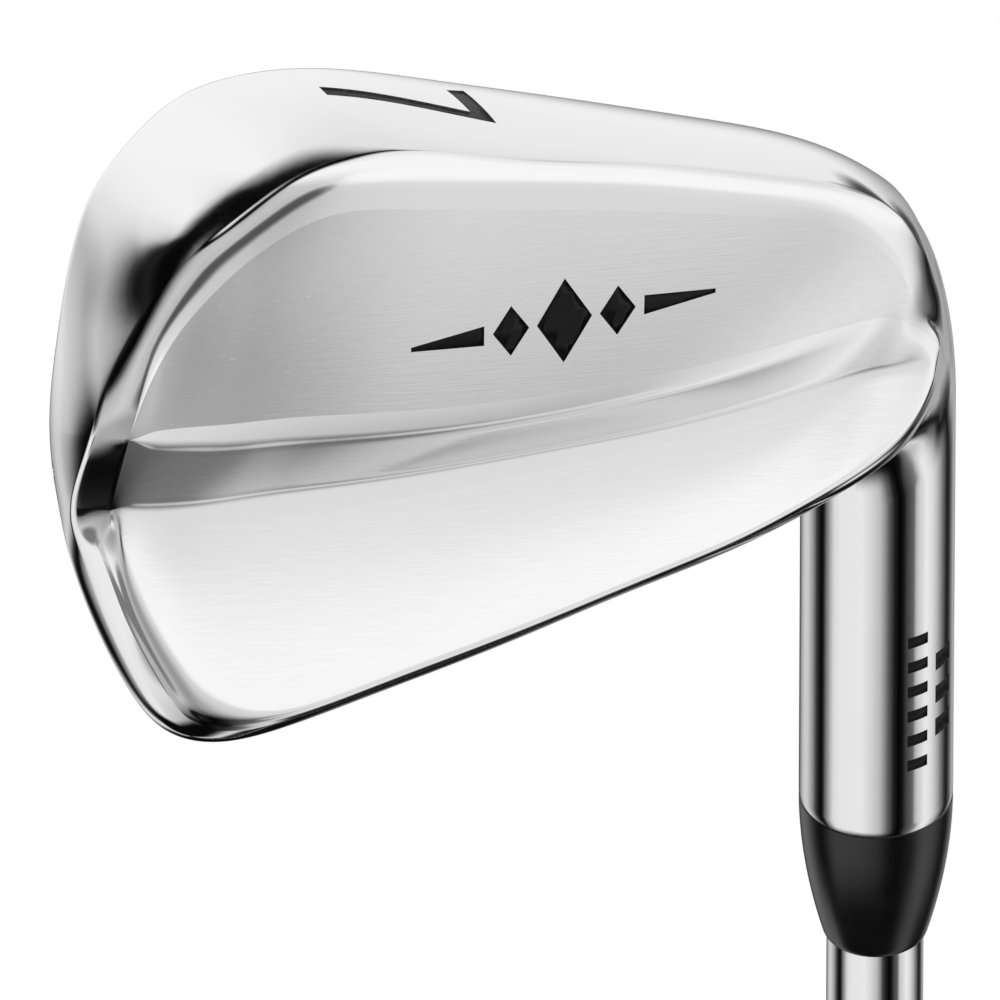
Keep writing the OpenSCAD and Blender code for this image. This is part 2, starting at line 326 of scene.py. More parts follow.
def build_groove(nt, bsdf):
    pos = object_position(nt)
    n = nt.noise(pos, 4.0, 3.0)
    c = nt.map(n, 0.3, 0.7, 0.5, 0.62)
    metal(nt, bsdf, nt.combine(c, c, c), nt.map(n, 0.3, 0.7, 0.3, 0.45))


CUT = material("forged_cut_wall", build_groove)


def build_paint(nt, bsdf):
    pos = object_position(nt)
    n = nt.noise(pos, 3.0, 3.0)
    c = nt.map(n, 0.3, 0.7, 0.002, 0.006)
    nt.set(bsdf.inputs["Base Color"], nt.combine(c, c, c))
    nt.set(bsdf.inputs["Roughness"], nt.map(n, 0.3, 0.7, 0.3, 0.45))
    bsdf.inputs["Specular IOR Level"].default_value = 0.2
    bump(nt, bsdf, n, 0.2, 0.0001)


PAINT = material("mark_paint_black", build_paint)


def build_ferrule(nt, bsdf):
    pos = object_position(nt)
    n = nt.noise(pos, 0.35, 3.0)
    z = nt.math("MULTIPLY", nt.dot(pos, (0, 0, 1)), 6.0)
    turned = nt.noise(nt.combine(0.0, 0.0, z), 1.0, 1.0)
    c = nt.map(n, 0.3, 0.7, 0.0035, 0.006)
    nt.set(bsdf.inputs["Base Color"], nt.combine(c, c, c))
    nt.set(bsdf.inputs["Roughness"], nt.map(turned, 0.3, 0.7, 0.17, 0.23))
    bsdf.inputs["Specular IOR Level"].default_value = 0.5
    bump(nt, bsdf, turned, 0.03, 0.0001)


FERRULE = material("ferrule_gloss_black", build_ferrule)


def build_shaft(nt, bsdf):
    pos = object_position(nt)
    z = nt.dot(pos, (0, 0, 1))
    rings = nt.noise(nt.combine(0.0, 0.0, nt.math("MULTIPLY", z, 3.0)), 1.0, 2.0)
    n = nt.noise(pos, 0.15, 3.0)
    c = nt.map(n, 0.3, 0.7, 0.93, 0.955)
    metal(nt, bsdf, nt.combine(c, c, nt.math("MULTIPLY", c, 1.004)), nt.map(rings, 0.3, 0.7, 0.05, 0.08))
    bump(nt, bsdf, rings, 0.015, 0.0001)


SHAFT = material("shaft_plated", build_shaft)


def build_rubber(nt, bsdf):
    pos = object_position(nt)
    n = nt.noise(pos, 1.6, 5.0, 0.65)
    big = nt.noise(pos, 0.08, 3.0)
    c = nt.math("MULTIPLY", nt.map(n, 0.3, 0.7, 0.016, 0.026), nt.map(big, 0.3, 0.7, 0.85, 1.15))
    nt.set(bsdf.inputs["Base Color"], nt.combine(c, c, nt.math("MULTIPLY", c, 1.04)))
    nt.set(bsdf.inputs["Roughness"], nt.map(n, 0.3, 0.7, 0.62, 0.78))
    bsdf.inputs["Specular IOR Level"].default_value = 0.35
    bump(nt, bsdf, n, 0.35, 0.0002)


RUBBER = material("grip_rubber_black", build_rubber)


def build_cap(nt, bsdf):
    pos = object_position(nt)
    n = nt.noise(pos, 2.4, 4.0, 0.6)
    x, y = nt.dot(pos, (1, 0, 0)), nt.dot(pos, (0, 1, 0))
    rad = nt.math("SQRT", nt.math("ADD", nt.math("MULTIPLY", x, x), nt.math("MULTIPLY", y, y)))
    ring = nt.math("SINE", nt.math("MULTIPLY", rad, 4.2))
    c = nt.math("MULTIPLY", nt.map(n, 0.3, 0.7, 0.02, 0.032), nt.map(ring, -1.0, 1.0, 0.8, 1.1))
    nt.set(bsdf.inputs["Base Color"], nt.combine(c, c, c))
    nt.set(bsdf.inputs["Roughness"], nt.map(n, 0.3, 0.7, 0.6, 0.75))
    bump(nt, bsdf, nt.math("ADD", n, ring), 0.3, 0.0002)


CAP = material("cap_rubber_black", build_cap)


def build_label(nt, bsdf):
    pos = object_position(nt)
    z = nt.dot(pos, (0, 0, 1))
    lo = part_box("shaft_label")[0].z / MM
    v = nt.math("SUBTRACT", z, lo)
    band = nt.ramp(nt.math("DIVIDE", v, 24.0),
                   [(0.0, 0.10), (0.09, 0.10), (0.10, 0.62), (0.30, 0.62), (0.31, 0.18), (0.36, 0.18),
                    (0.37, 0.62), (0.63, 0.62), (0.64, 0.18), (0.69, 0.18), (0.70, 0.62), (0.90, 0.62),
                    (0.91, 0.10), (1.0, 0.10)], "CONSTANT")
    n = nt.noise(pos, 3.0, 2.0)
    nt.set(bsdf.inputs["Base Color"], band)
    nt.set(bsdf.inputs["Roughness"], nt.map(n, 0.3, 0.7, 0.22, 0.3))
    bsdf.inputs["Metallic"].default_value = 0.35
    bump(nt, bsdf, n, 0.05, 0.0001)


LABEL = material("label_film_rings", build_label)


def build_tape(nt, bsdf):
    pos = object_position(nt)
    z = nt.dot(pos, (0, 0, 1))
    crepe = nt.noise(nt.combine(nt.dot(pos, (1, 0, 0)), nt.dot(pos, (0, 1, 0)), nt.math("MULTIPLY", z, 4.0)), 0.6, 4.0)
    c = nt.map(crepe, 0.3, 0.7, 0.5, 0.66)
    nt.set(bsdf.inputs["Base Color"], nt.combine(c, nt.math("MULTIPLY", c, 0.88), nt.math("MULTIPLY", c, 0.64)))
    bsdf.inputs["Roughness"].default_value = 0.9
    bump(nt, bsdf, crepe, 0.4, 0.0002)


TAPE = material("tape_paper_crepe", build_tape)


def build_resin(nt, bsdf):
    pos = object_position(nt)
    n = nt.noise(pos, 1.5, 3.0)
    c = nt.map(n, 0.3, 0.7, 0.42, 0.52)
    nt.set(bsdf.inputs["Base Color"], nt.combine(c, nt.math("MULTIPLY", c, 0.8), nt.math("MULTIPLY", c, 0.4)))
    nt.set(bsdf.inputs["Roughness"], nt.map(n, 0.3, 0.7, 0.25, 0.4))


RESIN = material("bond_resin_amber", build_resin)


def build_brass(nt, bsdf):
    pos = object_position(nt)
    n = nt.noise(pos, 1.0, 3.0)
    z = nt.math("MULTIPLY", nt.dot(pos, (0, 0, 1)), 5.0)
    turned = nt.noise(nt.combine(0.0, 0.0, z), 1.0, 1.0)
    metal(nt, bsdf, nt.combine(nt.map(n, 0.3, 0.7, 0.68, 0.76), nt.map(n, 0.3, 0.7, 0.49, 0.55), 0.22),
          nt.map(turned, 0.3, 0.7, 0.22, 0.34))


BRASS = material("weight_brass_turned", build_brass)

# ---------------------------------------------------------------- blade rails
RAILS = np.array([
 [[80.7,37.2,0],[81.1,38.4,7.9],[78,38.1,9],[78,38.1,9],[76.3,43.9,4.8],[76.3,43.9,4.8],[79.7,44.2,3.9],[78.6,44,0]],
 [[81.2,28.5,0],[80,30.8,8.5],[76.7,29.5,10.4],[75.3,38,8.8],[75,43.6,5],[74.6,48,4.7],[76.7,48.1,2.5],[76.8,48.2,0]],
 [[80.4,18.2,0],[76.3,22.8,10.2],[73.4,22.9,11.5],[72.2,37.6,8.7],[72,43,5],[71.6,52.2,4.7],[73.3,53.3,2.5],[73.5,53.4,0]],
 [[77.2,11.2,0],[72.5,18.1,11.2],[70.2,18.5,12.6],[68.5,37,8.6],[68.2,42.1,5],[66.9,57,4.6],[68.6,58.7,2.4],[68.8,58.8,0]],
 [[72.8,6,0],[67.6,13.1,12.8],[66.3,14.8,13.9],[64.7,36.2,8.6],[64.5,41,5],[63.6,59.3,4.6],[64.6,61.4,2],[64.6,61.4,0]],
 [[66.5,2.7,0],[62,10,13.7],[61.6,12.4,14.8],[60,35.1,8.6],[60,39.6,5],[58.8,59.6,4.6],[59.4,61.4,2],[59.4,61.4,0]],
 [[57.5,0.7,0],[54.8,8.2,14],[54.5,11,15],[53.3,33.6,8.7],[53.2,37.6,5],[52,57.2,4.6],[52.5,58.7,2],[52.5,58.7,0]],
 [[46,-0.2,0],[44.5,7.1,14.1],[44.5,9.3,15],[43.8,31.2,8.8],[43.6,34.6,5],[43,52.6,4.5],[43.3,54,2],[43.3,54,0]],
 [[33,-0.9,0],[32,5.3,14.1],[32,7.4,15],[32,27.5,8.8],[32,30.7,5],[31.8,46.8,4.5],[32,48.1,2],[32,48.1,0]],
 [[20,-1.5,0],[19.2,3.9,13.4],[19.5,5.9,14.6],[20,23,8.7],[20.2,26.6,5],[20.8,40.8,4.5],[21,42,2],[21,42,0]],
 [[8,-1.6,0],[8,3.6,12.7],[9,5.6,13.6],[9.8,18.5,8.2],[10.2,22.6,5],[11.5,35.6,4.6],[11.5,36.9,2],[11.5,36.9,0]],
 [[-1,0,0],[0.5,6,10.8],[1.8,8,11.2],[2,14.9,7.6],[3,19.5,5],[4.8,31.2,4.8],[4.5,32.7,2],[4.5,32.7,0]],
 [[-4.3,2.1,0.5],[-4.3,9,7.4],[-1.5,10.5,9],[-1.4,14.2,7.2],[-1.2,18,5.2],[-0.5,27.2,5],[-1.2,28.4,3.2],[0,28.5,0]],
 [[-6.7,6,0.9],[-8.8,12.1,3.3],[-3.8,12.4,7],[-4,14.4,6.4],[-4.4,17,5.3],[-4.9,23,5],[-6.5,24,2.6],[-5.5,21.7,-5.2]],
 [[-8.5,8.6,0.3],[-11.2,14.8,0.2],[-6.3,13.5,5.8],[-6.4,15,5.6],[-6.6,16.5,5.3],[-6.9,19,5],[-10,19.5,1.4],[-9.5,17.6,-3.6]],
 [[-9.9,11.4,-0.4],[-12,16,-0.6],[-7.2,15,5.3],[-7.2,15,5.3],[-7.3,16.5,5],[-7.3,16.5,5],[-11.4,17.4,0.2],[-9.9,14.7,-1.5]],
])
LAST = len(RAILS) - 1


class Spline:
    """Natural cubic spline through points at 0, 1, 2 ..."""

    def __init__(self, pts):
        self.p = np.asarray(pts, float)
        n = len(self.p)
        a = np.zeros((n, n))
        b = np.zeros((n, self.p.shape[1]))
        a[0, 0] = a[-1, -1] = 1.0
        for i in range(1, n - 1):
            a[i, i - 1:i + 2] = (1.0, 4.0, 1.0)
            b[i] = 6.0 * (self.p[i - 1] - 2 * self.p[i] + self.p[i + 1])
        self.m = np.linalg.solve(a, b)

    def __call__(self, x):
        n = len(self.p)
        i = int(min(n - 2, max(0, math.floor(x))))
        t = x - i
        s = 1.0 - t
        return (s * self.p[i] + t * self.p[i + 1]
                + ((s ** 3 - s) * self.m[i] + (t ** 3 - t) * self.m[i + 1]) / 6.0)


# The face edge, the wall edge and the panel edge run round the toe as one line:
# sole side heel to toe, then topline side toe to heel.
EDGE_F = Spline(np.concatenate([RAILS[::-1, 0], RAILS[:, 7]]))
EDGE_G = Spline(np.concatenate([RAILS[::-1, 1], RAILS[:, 6]]))
EDGE_H = Spline(np.concatenate([RAILS[::-1, 2], RAILS[:, 5]]))
LINE_1 = Spline(RAILS[:, 3])
LINE_2 = Spline(RAILS[:, 4])


def edge_h(p):
    if LAST < p < LAST + 1:
        return lerp(RAILS[0, 2], RAILS[0, 5], p - LAST)
    return EDGE_H(p)


def outline_normal(p):
    d = EDGE_F(min(2 * LAST + 1, p + 0.02)) - EDGE_F(max(0.0, p - 0.02))
    d[2] = 0.0
    n = np.array([-d[1], d[0], 0.0])
    return unit(-n)


def soleness(s):
    return ramp(1.5, 5, s) * (1 - ramp(11, 13, s))


class Seg:
    """One side of a section: the line a-b, raised along n by a bow and by a late roll."""

    def __init__(self, a, b, n=(0.0, 0.0, 0.0), bow=0.0, roll=0.0):
        self.a, self.b, self.n, self.bow, self.roll = a, b, np.asarray(n, float), bow, roll
        self.len = float(np.linalg.norm(b - a))

    def at(self, t):
        rise = self.bow * 4 * t * (1 - t) + self.roll * (t - t ** 4)
        return self.a + (self.b - self.a) * t + self.n * rise

    def dir(self, t):
        slope = self.bow * 4 * (1 - 2 * t) + self.roll * (1 - 4 * t ** 3)
        return unit((self.b - self.a) + self.n * slope)

    def trim(self, r):
        return min(0.42, r / max(1e-6, self.len)) if self.len > 1e-6 else 0.0

    def inner(self, t0, t1, n):
        return [self.at(t) for t in np.linspace(t0, t1, n + 2)[1:-1]]


def corner(sa, ra, sb, rb, n):
    """n points of a rounded corner from the end of sa to the start of sb."""
    t0, t1 = 1 - sa.trim(ra), sb.trim(rb)
    p0, p3 = sa.at(t0), sb.at(t1)
    c = sb.a
    p1 = p0 + sa.dir(t0) * float(np.linalg.norm(c - p0)) * 0.6
    p2 = p3 - sb.dir(t1) * float(np.linalg.norm(c - p3)) * 0.6
    out = []
    for k in range(n):
        t = k / (n - 1)
        u = 1 - t
        out.append(u ** 3 * p0 + 3 * u * u * t * p1 + 3 * u * t * t * p2 + t ** 3 * p3)
    return out


NC = 12          # cuts of the toe end, the ledge and the face
N_WALL, N_CH = 16, 6
N_F, N_G, N_H = 9, 11, 9


def rim_facts(p):
    """Edges, wall bow and corner sizes of the rim at p, sole side then topline side."""
    s = LAST - p if p <= LAST else max(0.0, p - LAST - 1)
    f, g, h = EDGE_F(p), EDGE_G(p), edge_h(p)
    out = outline_normal(p)
    k = min(1.0, max(0.0, p - LAST))          # 0 at the sole side of the toe end, 1 at its topline side
    sole = soleness(s) if p <= LAST else 0.0
    heel = ramp(11.5, 13, s)
    bow = lerp(lerp(0.7, 1.1, sole) * (1 - ramp(11, 14, s)), 0.12, k)
    r_f = lerp(lerp(0.7, 2.0, sole), lerp(0.55, 0.35, heel), k)
    r_g = lerp(1.5 * ramp(0.1, 1.7, s) * (1 - ramp(11.5, 14, s)) + 0.3, 0.5, k)
    return f, g, h, out, bow, r_f, r_g, sole, heel, s


def rim(p, h_size, r_h):
    """Columns from the face edge over the wall and the chamfer to the panel edge."""
    f, g, h, out, bow, r_f, r_g, sole, heel, s = rim_facts(p)
    k = min(1.0, max(0.0, p - LAST))
    opposite = EDGE_F(2 * LAST + 1 - p)
    span = unit(f - opposite) if np.linalg.norm(f - opposite) > 1.0 else out
    face = Seg(f - span * 6.0, f)
    late = ramp(1.2, 2.2, s) * (1 - ramp(4.4, 6.0, s)) * (1 - k)
    wall = Seg(f, g, out, bow * (1 - late), 2.5 * late)
    side = unit(out + np.array([0.0, 0.0, 1.0]))
    cham = Seg(g, h, side, lerp(0.22 + 0.13 * (1 - ramp(1.0, 2.0, s)), 0.1, k) * min(1.0, s))
    cf = corner(face, r_f, wall, r_f * 1.15, N_F)
    r_c = lerp(0.3, r_g, k)
    cg = corner(wall, r_g, cham, r_c, N_G)
    w = wall.inner(wall.trim(r_f * 1.15), 1 - wall.trim(r_g), N_WALL)
    ch = cham.inner(cham.trim(r_c), 1 - cham.trim(r_h * h_size), N_CH)
    return cf, w, cg, ch, cham


def section(s):
    ps, pt = LAST - s, LAST + 1 + s
    size = ramp(0.0, 1.2, s) * (1 - ramp(14.0, 15.0, s))
    sole = soleness(s)
    toe = 1 - ramp(3.5, 6.0, s)
    r_hs = 1.0
    r_ht = lerp(0.6, 2.0, toe)
    cf_s, w_s, cg_s, ch_s, cham_s = rim(ps, size, r_hs)
    cf_t, w_t, cg_t, ch_t, cham_t = rim(pt, size, r_ht)
    hs, ht = cham_s.b, cham_t.b
    l1, l2 = LINE_1(s), LINE_2(s)
    if s < 1e-9 or s > LAST - 1e-9:
        l1, l2 = hs.copy(), ht.copy()
    down = np.array([0.0, 0.0, -1.0])
    muscle = Seg(hs, l1, -down, 0.3 * ramp(1.0, 3.0, s) * (1 - ramp(10, 12, s)))
    ledge = Seg(l1, l2)
    upper = Seg(l2, ht, down, 0.5 * ramp(0.5, 3.0, s) * (1 - ramp(10, 12.5, s)))
    back_t = Seg(ht, cham_t.a)
    r1, r2 = 0.6 * size, 0.55 * size
    hs_f = corner(cham_s, r_hs * size, muscle, r_hs * size, N_H)
    l1_f = corner(muscle, r1, ledge, r1, 5)
    l2_f = corner(ledge, r2, upper, r2, 5)
    ht_f = corner(upper, r_ht * size, back_t, r_ht * size, N_H)
    m = muscle.inner(muscle.trim(r_hs * size), 1 - muscle.trim(r1), 12)
    lg = ledge.inner(ledge.trim(r1), 1 - ledge.trim(r2), NC - 1)
    u = upper.inner(upper.trim(r2), 1 - upper.trim(r_ht * size), 10)
    # face, bent to the outline at the toe end
    k = np.linspace(0, 1, NC + 1)[1:-1]
    face = [lerp(cf_t[0], cf_s[0], t) for t in k]
    if s < 1.0:
        w = (1 - s) ** 2
        a0, b0 = rim(LAST + 1.0, 0, 1)[0][0], rim(float(LAST), 0, 1)[0][0]
        for i, t in enumerate(k):
            cap = rim(LAST + 1 - t, 0, 1)[0][0]
            face[i] = face[i] + w * (cap - lerp(a0, b0, t))
    parts = [("F", cf_s), ("W", w_s), ("G", cg_s), ("C", ch_s), ("H", hs_f), ("M", m), ("1", l1_f),
             ("L", lg), ("2", l2_f), ("U", u), ("h", ht_f), ("c", ch_t[::-1]), ("g", cg_t[::-1]),
             ("w", w_t[::-1]), ("f", cf_t[::-1]), ("X", face)]
    pts, tags = [], []
    for tag, group in parts:
        for p in group:
            pts.append(p)
            tags.append(tag)
    return pts, tags


CUTS = 14
stations = []
for i in range(LAST):
    stations += [i + k / CUTS for k in range(CUTS)]
stations.append(float(LAST))
# closer cuts where the ends close
stations = sorted(set(stations) | {0.015, 0.04, 0.1, 0.15, 14.9, 14.96})

grid, tags = [], None
for s in stations:
    pts, tags = section(s)
    grid.append(pts)
grid = np.array(grid)
rows, cols = grid.shape[:2]

TAG_MAT = {"F": 0, "W": 0, "G": 0, "C": 0, "H": 0, "M": 1, "1": 0, "L": 2, "2": 0, "U": 3,
           "h": 0, "c": 0, "g": 0, "w": 0, "f": 0, "X": 4}
verts = grid.reshape(-1, 3)
faces, index = [], []
for i in range(rows - 1):
    for j in range(cols):
        j2 = (j + 1) % cols
        faces.append((i * cols + j, (i + 1) * cols + j, (i + 1) * cols + j2, i * cols + j2))
        index.append(TAG_MAT[tags[j]] if tags[j] == tags[j2] else
                     min(TAG_MAT[tags[j]], TAG_MAT[tags[j2]]))

# toe end: the rim columns carried round from the sole side to the topline side
n_rim = N_F + N_WALL + N_G + N_CH
rim_cols_s = list(range(n_rim))
first_h = tags.index("H")
last_h = cols - 1 - [t for t in tags[::-1]].index("h")
start_t = tags.index("c")
# columns of the topline side in the same order as the sole side
rim_cols_t = list(range(start_t, start_t + n_rim))[::-1]
cap_rows = []
base = len(verts)
extra = []
for k in range(1, NC):
    p = LAST + k / NC
    cf, w, cg, ch, cham = rim(p, 0, 1)
    cap_rows.append(cf + w + cg + ch + [cham.b])
width = n_rim + 1
cap_index = []
cap_index.append([rim_cols_s[j] for j in range(n_rim)] + [first_h])
for row in cap_rows:
    cap_index.append([base + len(extra) + j for j in range(width)])
    extra += row
cap_index.append([rim_cols_t[j] for j in range(n_rim)] + [last_h])
verts = np.concatenate([verts, np.array(extra)])
for k in range(NC):
    a, b = cap_index[k], cap_index[k + 1]
    for j in range(width - 1):
        faces.append((a[j], a[j + 1], b[j + 1], b[j]))
        index.append(0)
# heel end, inside the hosel
heel = [(rows - 1) * cols + j for j in range(cols)]
centre = len(verts)
verts = np.concatenate([verts, grid[-1].mean(0)[None]])
for j in range(cols):
    faces.append((heel[j], centre, heel[(j + 1) % cols]))
    index.append(0)

HEAD_MATS = [POLISHED, MUSCLE, LEDGE, UPPER, FACE, CUT, POLISHED]
blade = mesh_object("blade_blank", blade_to_frame(verts), faces, HEAD_MATS, index)
weld(blade)


def report_open(obj):
    bm = bmesh.new()
    bm.from_mesh(obj.data)
    bad = sum(1 for e in bm.edges if not e.is_manifold)
    vol = bm.calc_volume(signed=True)
    bm.free()
    print(obj.name, "verts", len(obj.data.vertices), "faces", len(obj.data.polygons),
          "open edges", bad, "volume mm3", round(vol * 1e9, 1))
    return bad


report_open(blade)

# ---------------------------------------------------------------- hosel
N_TH = 192


def revolve(name, profile, n, mats, index=None, closed=True):
    """Closed body of revolution about Z from (r, z) points in mm; r = 0 closes an end."""
    verts, faces, idx = [], [], []
    rings = []
    for r, z in profile:
        if r <= 1e-9:
            rings.append([len(verts)])
            verts.append((0, 0, z))
        else:
            rings.append(list(range(len(verts), len(verts) + n)))
            for k in range(n):
                a = 2 * math.pi * k / n
                verts.append((r * math.cos(a), r * math.sin(a), z))
    pairs = [(k, k + 1) for k in range(len(rings) - 1)]
    if closed and len(rings[0]) > 1 and len(rings[-1]) > 1:
        pairs.append((len(rings) - 1, 0))
    for a, b in pairs:
        A, B = rings[a], rings[b]
        for k in range(n):
            k2 = (k + 1) % n
            if len(A) == 1 and len(B) == 1:
                continue
            if len(A) == 1:
                faces.append((A[0], B[k2], B[k]))
            elif len(B) == 1:
                faces.append((A[k], A[k2], B[0]))
            else:
                faces.append((A[k], A[k2], B[k2], B[k]))
            idx.append(index[a] if index else 0)
    return mesh_object(name, verts, faces, mats, idx)



# height at which the hosel enters the back of the blade, per angle
tree = BVHTree.FromPolygons([v.co[:] for v in blade.data.vertices], [p.vertices[:] for p in blade.data.polygons])


def inside_blade(p):
    loc, nor, _, dist = tree.find_nearest(Vector(p) * MM)
    return (Vector(p) * MM - loc).dot(nor) < 0 and dist < 0.012


entry = np.full(N_TH, np.nan)
for k in range(N_TH):
    a = 2 * math.pi * k / N_TH
    for z in np.arange(34.0, 66.0, 0.5):
        if inside_blade((7.1 * math.cos(a), 7.1 * math.sin(a), HOSEL_Z + z)):
            entry[k] = z
            break
found = np.where(~np.isnan(entry))[0]
print("hosel entry", len(found), found[:1], found[-1:], np.nanmin(entry), np.nanmax(entry))
entry = np.interp(np.arange(N_TH), found, entry[found])
kernel = np.hanning(13) / np.hanning(13).sum()
entry = np.convolve(np.pad(entry, 6, mode="edge"), kernel, "valid")


def flare(k, z):
    """Outward swelling of the hosel where it runs into the back of the blade."""
    angle = 360.0 * k / N_TH
    w = ramp(188.0, 222.0, angle) * (1 - ramp(280.0, 326.0, angle))
    d = entry[k] - z
    f = max(0.0, 1 - max(0.0, d) / 9.0)
    return 1.5 * w * f * f * (1 - ramp(0.0, 8.0, -d))


hosel_rows = list(np.arange(HOSEL_Z, GROUND - DOME, 0.5)) + [GROUND - DOME + DOME * math.sin(math.radians(a))
                                                             for a in np.arange(0, 88, 2.5)]
hv, hf = [], []
for z in hosel_rows:
    z0 = GROUND - DOME
    r = HOSEL_R if z <= z0 else HOSEL_R * math.sqrt(max(0.0, 1 - ((z - z0) / DOME) ** 2))
    if z < HOSEL_Z + 0.01:
        r -= 0.08
    for k in range(N_TH):
        a = 2 * math.pi * k / N_TH
        rr = r + flare(k, z - HOSEL_Z)
        hv.append((rr * math.cos(a), rr * math.sin(a), z))
nr = len(hosel_rows)
for i in range(nr - 1):
    for k in range(N_TH):
        k2 = (k + 1) % N_TH
        hf.append((i * N_TH + k, i * N_TH + k2, (i + 1) * N_TH + k2, (i + 1) * N_TH + k))
lo_c, hi_c = len(hv), len(hv) + 1
hv += [(0, 0, HOSEL_Z), (0, 0, GROUND)]
for k in range(N_TH):
    k2 = (k + 1) % N_TH
    hf.append((lo_c, k2, k))
    hf.append(((nr - 1) * N_TH + k, (nr - 1) * N_TH + k2, hi_c))
hosel = mesh_object("hosel_blank", hv, hf, HEAD_MATS, [6] * len(hf))
weld(hosel)
report_open(hosel)

head = blade
head.name = "head_forging"
boolean(head, hosel, "UNION")
report_open(head)


def soften(obj, slot, radius, rounds):
    """Roll the joint between the faces of one slot and the rest into a smooth blend."""
    me = obj.data
    n = len(me.vertices)
    co = np.empty(n * 3)
    me.vertices.foreach_get("co", co)
    co = co.reshape(-1, 3)
    own, other = np.zeros(n, bool), np.zeros(n, bool)
    for p in me.polygons:
        (own if p.material_index == slot else other)[list(p.vertices)] = True
    seam = co[own & other]
    dist = np.full(n, 9.9)
    for i in range(0, len(seam), 50):
        part = seam[i:i + 50]
        dist = np.minimum(dist, np.sqrt(((co[:, None] - part[None]) ** 2).sum(-1)).min(1))
    t = np.clip(1 - dist / (radius * MM), 0, 1)
    w = (t * t * (3 - 2 * t))[:, None]
    e = np.empty(len(me.edges) * 2, np.int64)
    me.edges.foreach_get("vertices", e)
    e = e.reshape(-1, 2)
    e = e[(dist[e[:, 0]] < radius * MM * 1.3) | (dist[e[:, 1]] < radius * MM * 1.3)]
    deg = np.maximum(1, np.bincount(e.ravel(), minlength=n))[:, None]
    for _ in range(rounds):
        acc = np.zeros_like(co)
        for c in range(3):
            acc[:, c] = (np.bincount(e[:, 0], co[e[:, 1], c], n) + np.bincount(e[:, 1], co[e[:, 0], c], n))
        co = co + w * 0.8 * (acc / deg - co) * (deg > 1)
    me.vertices.foreach_set("co", co.ravel())
    me.update()
    print("softened seam of", len(seam), "vertices,", int((w > 0).sum()), "moved")


soften(head, 6, 3.6, 60)
report_open(head)


# ---------------------------------------------------------------- bore, score lines and stamped marks
def rot(angle, axis):
    return Matrix.Rotation(math.radians(angle), 4, axis)


def move(x, y, z):
    return Matrix.Translation((x, y, z))


BLADE = Matrix(((E_U[0], E_Q[0], E_T[0], 0.0), (E_U[1], E_Q[1], E_T[1], LEAD),
                (E_U[2], E_Q[2], E_T[2], GROUND), (0.0, 0.0, 0.0, 1.0)))
SOLE_AT = BLADE @ rot(55, "X") @ move(61.2, 7.5, 0.35) @ rot(6.2, "Y") @ rot(6.6, "X")
MUSCLE_AT = BLADE @ move(36.5, 20, 10.85) @ rot(-3.5, "Y") @ rot(-16.5, "X") @ rot(20, "Z")


def prisms(name, polygons, z0, z1, matrix, mats, slot, draft=0.0):
    """Upright prisms on the given outlines; draft narrows their lower end."""
    verts, faces = [], []
    for poly in polygons:
        c = np.mean(np.array(poly, float), axis=0)
        n, b = len(poly), len(verts)
        for z, k in ((z0, 1.0 - draft), (z1, 1.0)):
            for x, y in poly:
                verts.append(matrix @ Vector((c[0] + (x - c[0]) * k, c[1] + (y - c[1]) * k, z)))
        faces.append(tuple(b + i for i in range(n))[::-1])
        faces.append(tuple(b + n + i for i in range(n)))
        for i in range(n):
            j = (i + 1) % n
            faces.append((b + i, b + j, b + n + j, b + n + i))
    obj = mesh_object(name, [tuple(v) for v in verts], faces, mats, [slot] * len(faces), smooth=False)
    weld(obj)
    return obj


def copy_of(obj, name, shift=(0.0, 0.0, 0.0)):
    o = link(bpy.data.objects.new(name, obj.data.copy()))
    o.data.transform(Matrix.Translation(Vector(shift) * MM))
    return o


def stamp(name, polygons, matrix, depth=0.42, sunk=0.14):
    """Cut outlines into the head to an even depth and fill them with paint just below the surface."""
    n = (matrix.to_3x3() @ Vector((0, 0, 1))).normalized()
    core = copy_of(head, "core", -n * depth)
    cutter = prisms("cutter", polygons, -2.2, 6.0, matrix, HEAD_MATS, 5)
    boolean(cutter, core, "DIFFERENCE", keep=True)
    for p in cutter.data.polygons:
        p.material_index = 5
    fill = prisms(name, polygons, -2.2, 6.0, matrix, [PAINT], 0)
    skin = copy_of(head, "skin", -n * sunk)
    boolean(fill, skin, "INTERSECT")
    boolean(fill, core, "DIFFERENCE")
    fill.data.materials.clear()
    fill.data.materials.append(PAINT)
    fill.data.polygons.foreach_set("material_index", np.zeros(len(fill.data.polygons), np.int32))
    boolean(head, cutter, "DIFFERENCE")
    report_open(fill)
    return fill


def paint(fill, node):
    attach(fill, "root")
    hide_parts(node)


def tube_cutter(r0, r1, z0, z1):
    return revolve("cutter", [(r1, z0), (r1, z1), (r0, z1), (r0, z0)] if r0 > 0 else
                   [(0, z0), (r1, z0), (r1, z1), (0, z1)], N_TH, HEAD_MATS, None, r0 > 0)


bore = tube_cutter(0, 4.6, HOSEL_Z - 1.0, HOSEL_Z + 31.0)
weld(bore)
for p in bore.data.polygons:
    p.material_index = 5
boolean(head, bore, "DIFFERENCE")

seven = [[(0, -0.8), (-0.1, 0.8), (-16.2, 3.1), (-15.9, -3.4), (-13.9, -2.9), (-14.2, 1.5)][::-1]]
paint(stamp("sole_number_paint", seven, SOLE_AT), "sole_number_fill")

marks = []
for x, a, b in ((0.0, 2.9, 3.9), (-5.6, 1.9, 2.3), (5.6, 1.9, 2.3)):
    marks.append([(x - a, 0), (x, -b), (x + a, 0), (x, b)])
marks.append([(8.4, -0.9), (16, -0.2), (16, 0.2), (8.4, 0.9)])
marks.append([(-8.4, 0.9), (-16, 0.2), (-16, -0.2), (-8.4, -0.9)])
paint(stamp("muscle_mark_paint", marks, MUSCLE_AT), "muscle_mark_fill")

